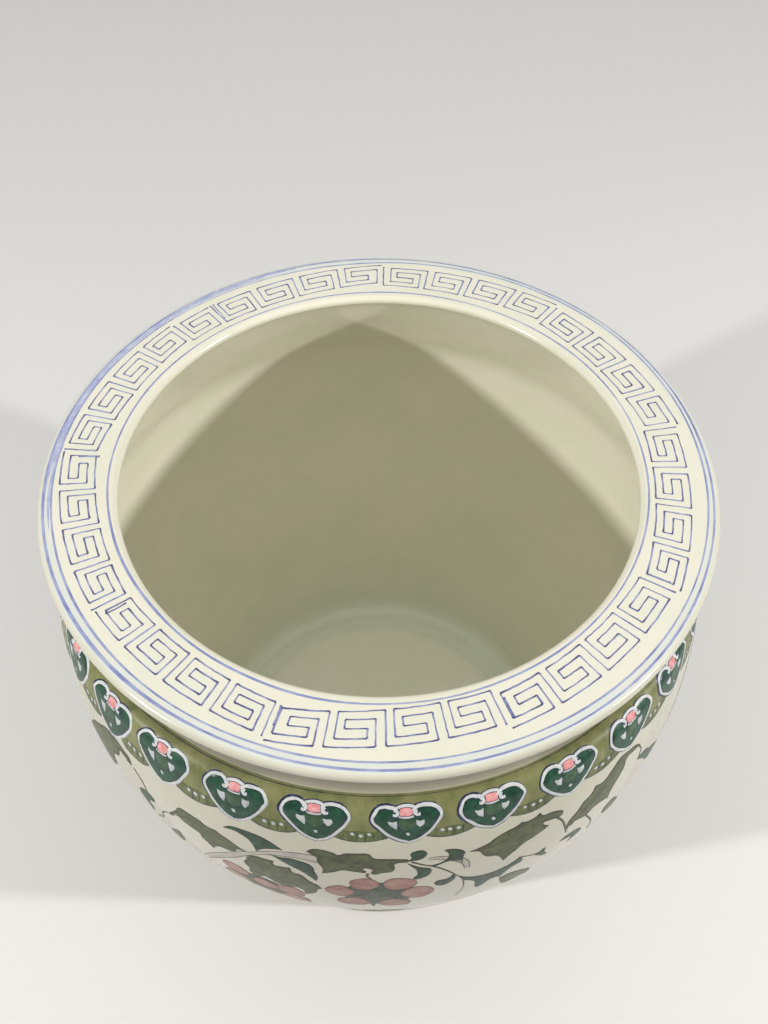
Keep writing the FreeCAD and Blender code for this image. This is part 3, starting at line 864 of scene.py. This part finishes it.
for text in VEINS:
    points = [(x, y, corner, 1.4 - 0.25 * k) for k, (x, y, corner) in enumerate(spots(text))]
    panel_lines.line(shaky(points, 0.3), 0.6, 0.125)

# %% Blue-green curling leaves
DARK_LEAVES = [
    "-24.7,-.443c -23.5,-.42 -21.5,-.411 -19,-.411 -17,-.425 -14.9,-.453c -16.5,-.463 -18.3,-.485 "
    "-19.3,-.51c -19.7,-.475 -20.3,-.455 -21.5,-.438 -22.7,-.434",
    "-17.3,-.50c -15.5,-.503 -13.7,-.493 -12.5,-.495 -11,-.505 -10.2,-.52 -10,-.55 -9.6,-.585 "
    "-9.9,-.617c -10.9,-.59 -12,-.565 -14,-.54 -15.6,-.518",
    "-41,-.545 -42.5,-.56 -43.2,-.59 -42.5,-.63 -41.5,-.67 -41.3,-.69c -40.8,-.66 -41.2,-.62 -40.8,-.60 "
    "-39.7,-.585 -39.4,-.565 -40.2,-.548",
    "4,-.455c 4.8,-.445 5,-.43 4.8,-.415 5.5,-.402 6.7,-.402 7.2,-.415 7,-.435 6.2,-.447 5,-.452",
    "4.3,-.465c 5.5,-.485 6.5,-.50 7.8,-.51 8,-.535 7.4,-.56 6.3,-.573 5.5,-.572 6,-.545 5.8,-.515 "
    "5.2,-.49",
    "9.9,-.414c 11,-.415 12.5,-.43 13.2,-.45c 12.9,-.47 13,-.505c 12,-.49 10.5,-.483 8.5,-.50 8,-.493c "
    "9.5,-.485 10.5,-.465 10.7,-.44",
    "11.7,-.575c 12,-.61 11.2,-.64 10.2,-.653 9.2,-.645 8.8,-.62 9.5,-.61 10.8,-.605 11.4,-.59",
    "12.8,-.605c 14,-.625 16,-.645 18.5,-.652 21,-.64 22.5,-.62 23,-.605c 23.6,-.65 22.3,-.665 "
    "21.2,-.69 20.3,-.73c 19.3,-.715 18.3,-.72 17.5,-.75 16.5,-.775c 16,-.74 15.8,-.70 15,-.67 "
    "13.6,-.645",
    "26.3,-.655 27,-.645 27.8,-.635 28,-.66 28.3,-.68 29,-.71c 27.8,-.695 27,-.675",
    "47,-.49c 48.5,-.488 50,-.50 51,-.525 53,-.555 55.5,-.60 57.5,-.66 59.2,-.74 60,-.85c 58,-.77 "
    "56,-.71 54,-.665 51.5,-.605 49.5,-.545",
    "31,-.655c 32.5,-.64 34.5,-.645 35.5,-.665 35.8,-.69 34.8,-.71 33.4,-.725c 33.9,-.70 33.6,-.68 "
    "32.6,-.67",
]
curls = Layer()
for text in DARK_LEAVES:
    points = spots(text)
    curls.wash(shaky(points, 0.2), 0.11, 2.4 * MM)
    panel_lines.line(shaky(points, 0.25, 0.4), 0.42, 0.13, closed=True, reach=3 * MM)

# %% Stems: one broad pale one with two thin edges, and fine dark ones
PALE_STEMS = [
    "-9.5,-.466 -12,-.465 -15,-.478 -18,-.506 -19.7,-.532 -21.7,-.562 -23.5,-.602 -26,-.66 -28.5,-.72 "
    "-31,-.80",
    "7.6,-.452 9.4,-.455 11.4,-.472 13.2,-.505 13.9,-.555",
]
SWELLS = [(2.4, 2.1, 1.5, 1.1, 1.0, 1.35, 1.7, 1.7, 1.5, 1.3), (0.6, 1.0, 1.2, 1.3, 0.8)]
FINE_STEMS = [
    "5,-.46 7,-.485 8.3,-.50 10.5,-.54 11.7,-.575 12.3,-.595 13.3,-.63 13.8,-.68 13.7,-.75 13,-.80",
    "34,-.50 35.5,-.57 37.2,-.635 38.2,-.69 38.4,-.75", "-40.2,-.70 -38.6,-.66 -38,-.61 -36.6,-.58",
    "28.8,-.45 30,-.49 31,-.55 31.6,-.60", "23.2,-.61 25,-.635 26.4,-.65",
    "-1.6,-.525 -1.8,-.545 -1.2,-.56", "46.8,-.412 47.6,-.44 47.4,-.485",
    "-43.2,-.455 -41.6,-.49 -40.8,-.54",
]
stems = Layer()

def beside(points, away):
    """The same chain, moved sideways by a distance that grows with its width."""
    moved_points = []
    for k, (x, y, corner, width) in enumerate(points):
        (x0, y0), (x1, y1) = points[max(0, k - 1)][:2], points[min(len(points) - 1, k + 1)][:2]
        shift = away * width / math.hypot(x1 - x0, y1 - y0)
        moved_points.append((x - (y1 - y0) * shift, y + (x1 - x0) * shift, corner))
    return moved_points

for text, swells in zip(PALE_STEMS, SWELLS):
    points = [(x, y, c, swell) for (x, y, c), swell in zip(spots(text), swells)]
    stems.line(shaky(points, 0.2, 0.06), 3.5, 0.085)
    for side in (-1, 1):
        panel_lines.line(shaky(beside(points, side * 1.65 * MM), 0.3, 0.5), 0.5, 0.125)
for text in FINE_STEMS:
    points = [(x, y, corner, 1.5 - 0.1 * k) for k, (x, y, corner) in enumerate(spots(text))]
    panel_lines.line(shaky(points, 0.2, 0.2), 1.0, 0.13)

# %% Flowers: round petals, a dark star between them and fine outlines
def petal(layer, lines, x, y, wide, tall):
    """One petal; x and wide are degrees, y and tall are rim radii."""
    points = []
    for k in range(9):
        turn = math.tau * k / 9
        swell = 1 + hand.uniform(-0.07, 0.07)
        a, b = math.cos(turn) * wide * swell, math.sin(turn) * tall * swell
        points.append(f"{x + a:.3f},{y + b:.4f}")
    points = spots(" ".join(points))
    layer.wash(points, 0.09, 3.5 * MM)
    lines.line(shaky(points, 0.25, 0.45), 0.55, 0.13, closed=True, reach=4 * MM)

petals, star = Layer(), Layer()
for x, y in ((-0.2, -0.70), (-20.0, -0.84)):
    turns = [math.tau * k / 9 for k in range(9)]
    heart = " ".join(f"{x + 5.6 * math.cos(t):.3f},{y + 0.112 * math.sin(t):.4f}" for t in turns)
    star.wash(shaky(spots(heart), 0.8), 0.07, 12 * MM)
PETALS = [
    (-2.3, -.605, 2.4, .046), (3.2, -.605, 2.6, .046), (-6.2, -.68, 2.2, .050), (6.1, -.69, 2.6, .055),
    (-4.0, -.79, 2.6, .050), (2.7, -.795, 2.6, .050), (-24.5, -.745, 2.4, .048), (-19.6, -.80, 2.3, .050),
    (-15.0, -.79, 2.5, .055), (-25.5, -.86, 2.5, .05), (-14.6, -.90, 2.6, .055), (-20.5, -.93, 2.7, .055)]
for spot in PETALS:
    petal(petals, panel_lines, *spot)
STARS = [
    "-.6,-.628c .3,-.650 1.3,-.652 3.2,-.655c 2.9,-.675 2.4,-.70 3.0,-.735 5.0,-.775c 2.8,-.752 "
    "1.2,-.745 .2,-.77 -.9,-.86c -1.5,-.80 -1.9,-.745 -4.2,-.722c -2.8,-.695 -3.3,-.672 -3.6,-.655c "
    "-2.2,-.652 -1.2,-.648",
    "-20.2,-.845c -19,-.85 -17.4,-.845c -17.9,-.865 -17.3,-.89 -16.8,-.92c -18.7,-.905 -20.2,-.905 "
    "-22.8,-.925c -22.4,-.89 -22.5,-.865 -23.2,-.84c -21.8,-.845",
]
for text in STARS:
    star.wash(spots(text), 0.105, 3 * MM)

# %% [markdown]
# ## The lower half
# The photograph doesn't show the wall below the widest ring well, so the scroll goes on there as such
# scrolls do: smaller leaves and buds of the same kinds on a wandering stem, with two rings near the foot.

# %% Smaller motifs below the widest ring
def moved(text, about, dx, dy, size, flip):
    """The same spots at another place, resized about a spot, and mirrored from side to side if flip is -1."""
    words = []
    for word in text.split():
        degrees, drop = (float(n) for n in word.rstrip("c").split(","))
        words.append(f"{about[0] + dx + flip * size * (degrees - about[0]):.3f},"
                     f"{about[1] + dy + size * (drop - about[1]):.4f}" + ("c" if word.endswith("c") else ""))
    return " ".join(words)

LEAF_MIDDLES = ({0: (-4, -.47), 1: (-4, -.47), 2: (-29, -.55), 4: (22, -.46)},
                {0: (-20, -.45), 1: (-13, -.54), 3: (5.5, -.43), 5: (11, -.46), 7: (18, -.68)})
LOWER = [(0, 1, -24, -.78, 1.0, -1), (0, 4, 30, -.64, 0.95, 1), (0, 2, -18, -.53, 0.8, -1),
         (0, 0, 49, -.64, 0.9, 1), (0, 4, -37, -.72, 0.8, -1), (0, 2, 36, -.73, 0.75, 1),
         (1, 0, 22, -.57, 1.0, 1), (1, 7, -14, -.47, 0.8, -1), (1, 0, 58, -.70, 0.9, -1),
         (1, 1, 53, -.55, 0.9, 1), (1, 5, 9, -.72, 1.1, 1), (1, 3, -48, -.80, 1.4, -1),
         (1, 1, -22, -.76, 0.9, -1), (1, 3, 20, -.93, 1.3, 1)]
for dark, number, *place in LOWER:
    points = spots(moved((OLIVE_LEAVES, DARK_LEAVES)[dark][number], LEAF_MIDDLES[dark][number], *place))
    (curls if dark else panel_leaves).wash(shaky(points, 0.25), 0.11 if dark else 0.10, 3 * MM, 1)
    panel_lines.line(shaky(points, 0.3, 0.5), 0.55, 0.13, closed=True, reach=4 * MM)
for turn in range(3):
    x, y = -44 + 40 * turn, -1.21 - 0.05 * (turn == 1)
    for k in range(5):
        angle = math.tau * k / 5 + 0.3
        petal(petals, panel_lines, x + 3.7 * math.cos(angle), y + 0.052 * math.sin(angle), 2.1, 0.036)
    points = []
    for k in range(10):
        angle, out, corner = math.tau * k / 10 + 0.3, (1.0, 3.0)[k % 2], "c" * (k % 2)
        across, down = out * math.cos(angle), 0.0145 * out * math.sin(angle)
        points.append(f"{x + across:.3f},{y + down:.4f}{corner}")
    star.wash(spots(" ".join(points)), 0.105, 3 * MM)
winding = []
for k in range(31):
    drop = -1.13 - 0.09 * math.sin(k * math.tau / 10)
    winding.append((math.radians(-60 + 4 * k) * ROUND, climb(TOP + RIM * drop), False, 1 + 0.2 * math.sin(k)))
stems.line(winding, 2.4, 0.07, smooth=4)
for side in (-1, 1):
    beside_it = [(x, y + side * 1.25 * MM, corner) for x, y, corner, _ in winding]
    panel_lines.line(shaky(beside_it, 0.2, 0.4), 0.42, 0.12, smooth=4)

olive_leaf = enamel("olive_leaf", (78, 84, 52), (100, 108, 68), (42, 50, 34), 0.007, 0.85)
curl_green = enamel("curl_green", (34, 64, 46), (54, 88, 64), (18, 38, 32), 0.006, 0.6)
petal_pink = enamel("petal_pink", (176, 130, 120), (190, 156, 142), (146, 92, 88), 0.012, 0.6)
star_green = enamel("star_green", (52, 66, 48), (74, 92, 66), (36, 48, 36), 0.006, 0.4)
stem_lilac = enamel("stem_lilac", (198, 190, 180), (208, 202, 188), (174, 164, 166), 0.006, 0.4)
umber_line = enamel("umber_line", (66, 58, 46), (96, 92, 70), (42, 40, 36), 0.005, 0.5)
piece("olive_leaves", panel_leaves.wrapped(3), olive_leaf)
piece("curled_leaves", curls.wrapped(3), curl_green)
piece("pale_stems", stems.wrapped(3), stem_lilac)
piece("petals", petals.wrapped(3), petal_pink)
piece("flower_stars", star.wrapped(3), star_green)
piece("scroll_lines", panel_lines.wrapped(3), umber_line)

# %% Rings round the wall: a fine one at the top of the band, two above the foot
def hoop(layer, height, width, top, phase):
    points = []
    for k in range(124):
        y = climb(height) + 0.3 * MM * math.sin(k * 0.11 + phase)
        swell = (1 + 0.2 * math.sin(k * 0.19 + phase)) * min(1.0, (k + 1) / 4, (125 - k) / 4)
        points.append((math.radians(k * 3 - 150) * ROUND, y, False, swell))
    layer.line(points, width, top, smooth=1)

wall_rings = Layer()
hoop(wall_rings, 0.0640, 1.5, 0.07, 1.0)
hoop(wall_rings, 0.0560, 0.8, 0.07, 2.0)
piece("wall_rings", wall_rings.wrapped(), banding)
band_top = Layer()
hoop(band_top, 0.3178, 0.6, 0.09, 0.3)
piece("band_top_line", band_top.wrapped(), midnight)

# %% [markdown]
# ## A drip of glaze
# Where the glaze ran and froze, a nub stands on the underside of the lip, a little right of the front. It
# is a small sphere, stretched along the lip and sunk half into it.

# %% The drip
drip = bmesh.new()
bmesh.ops.create_icosphere(drip, subdivisions=3, radius=1.0)
bmesh.ops.scale(drip, verts=drip.verts, vec=(5.2 * MM, 3.0 * MM, 2.6 * MM))
for vertex in drip.verts:
    vertex.co += Vector((0.4 * MM * math.sin(vertex.co.y * 900), 0, 0.5 * MM * math.sin(vertex.co.x * 500)))
DRIP_RADIUS, DRIP_HEIGHT = 0.1982, 0.3528
turn = math.radians(15.2)
bmesh.ops.rotate(drip, verts=drip.verts, cent=(0, 0, 0), matrix=Matrix.Rotation(turn, 3, "Z"))
bmesh.ops.translate(drip, verts=drip.verts, vec=(
    DRIP_RADIUS * math.sin(turn), -DRIP_RADIUS * math.cos(turn), DRIP_HEIGHT))
drip_along = drip.verts.layers.float.new("along")
for vertex in drip.verts:
    vertex[drip_along] = bowl.marks["lip"] + 0.006
    vertex.co = fired(vertex.co)
piece("glaze_drip", drip, porcelain)

# %% [markdown]
# ## Light and camera
# Two soft lamps stand low on the left and the right, so each one throws the shadow of the near rim on the
# far inner wall, and the two shadows meet in a point at the back. A sky that is bright overhead and dim at
# the horizon fills in the rest. Rays that show the background see a pale floor and a pale sky; the light
# itself comes from darker ones, so the bowl's underside keeps its shade.

# %% The studio
floor_mesh = bmesh.new()
bmesh.ops.create_grid(floor_mesh, x_segments=1, y_segments=1, size=6)
floor_data = bpy.data.meshes.new("studio_floor")
floor_mesh.to_mesh(floor_data)
floor_mesh.free()
studio_floor = bpy.data.objects.new("studio_floor", floor_data)
bpy.context.scene.collection.objects.link(studio_floor)
paper = Paint("studio_paper")
tone = paper.mix(paper.shown(), linear(72, 70, 67), linear(226, 225, 222))
ground_paper = paper.finish(Base_Color=tone, Roughness=0.9)
studio_floor.data.materials.append(ground_paper)

def lamp(name, bearing, rise, away, size, watts):
    data = bpy.data.lights.new(name, "AREA")
    data.shape, data.size, data.energy = "DISK", size, watts
    body = bpy.data.objects.new(name, data)
    bpy.context.scene.collection.objects.link(body)
    turn, tilt = math.radians(bearing), math.radians(rise)
    aim = Vector((0, 0, 0.356))
    flat = math.cos(tilt)
    offset = Vector((math.sin(turn) * flat, -math.cos(turn) * flat, math.sin(tilt))) * away
    body.location = aim + offset
    body.rotation_euler = (-offset).to_track_quat("-Z", "Y").to_euler()
    body.visible_camera = False

lamp("left_softbox", -61.8, 21.6, 2.0, 0.10, 23.5)
lamp("right_softbox", 72.3, 19.5, 2.0, 0.10, 25)

sky = bpy.data.worlds.new("studio_sky")
bpy.context.scene.world = sky
dome = Paint("sky", sky)
level = dome.node("ShaderNodeSeparateXYZ", {}, {0: dome.node("ShaderNodeTexCoord", out="Generated")}, "Z")
shown = dome.shown()
glow = level.math("MAXIMUM", 0.0) * 0.76 + 0.08
strength = shown * 0.86 + glow * (1 - shown)
air = dome.node("ShaderNodeBackground", {}, {"Color": (1.0, 0.99, 0.97, 1), "Strength": strength})
dome.node("ShaderNodeOutputWorld", {}, {"Surface": air})
bpy.context.scene.view_settings.view_transform = "Standard"

# %% The camera, with three small turns in radians that set the bowl in its place in the frame
YAW, PITCH, ROLL = -0.0042, -0.0414, -0.0017
FOCAL_PIXELS, FRAME_PIXELS, SENSOR = 1105, 1024, 36
view = bpy.data.cameras.new("view")
view.sensor_width, view.lens = SENSOR, FOCAL_PIXELS * SENSOR / FRAME_PIXELS
camera = bpy.data.objects.new("view", view)
bpy.context.scene.collection.objects.link(camera)
camera.location = (0, -0.4432, 0.8561)
aim = (Vector((0, 0, TOP)) - camera.location).to_track_quat("-Z", "Y")
camera.rotation_mode = "QUATERNION"
camera.rotation_quaternion = (aim @ Quaternion((0, 1, 0), YAW) @ Quaternion((1, 0, 0), PITCH)
                              @ Quaternion((0, 0, -1), ROLL))
bpy.context.scene.camera = camera
print("camera", round(math.degrees(aim.to_euler().x) - 90, 1), "degrees to the horizon")
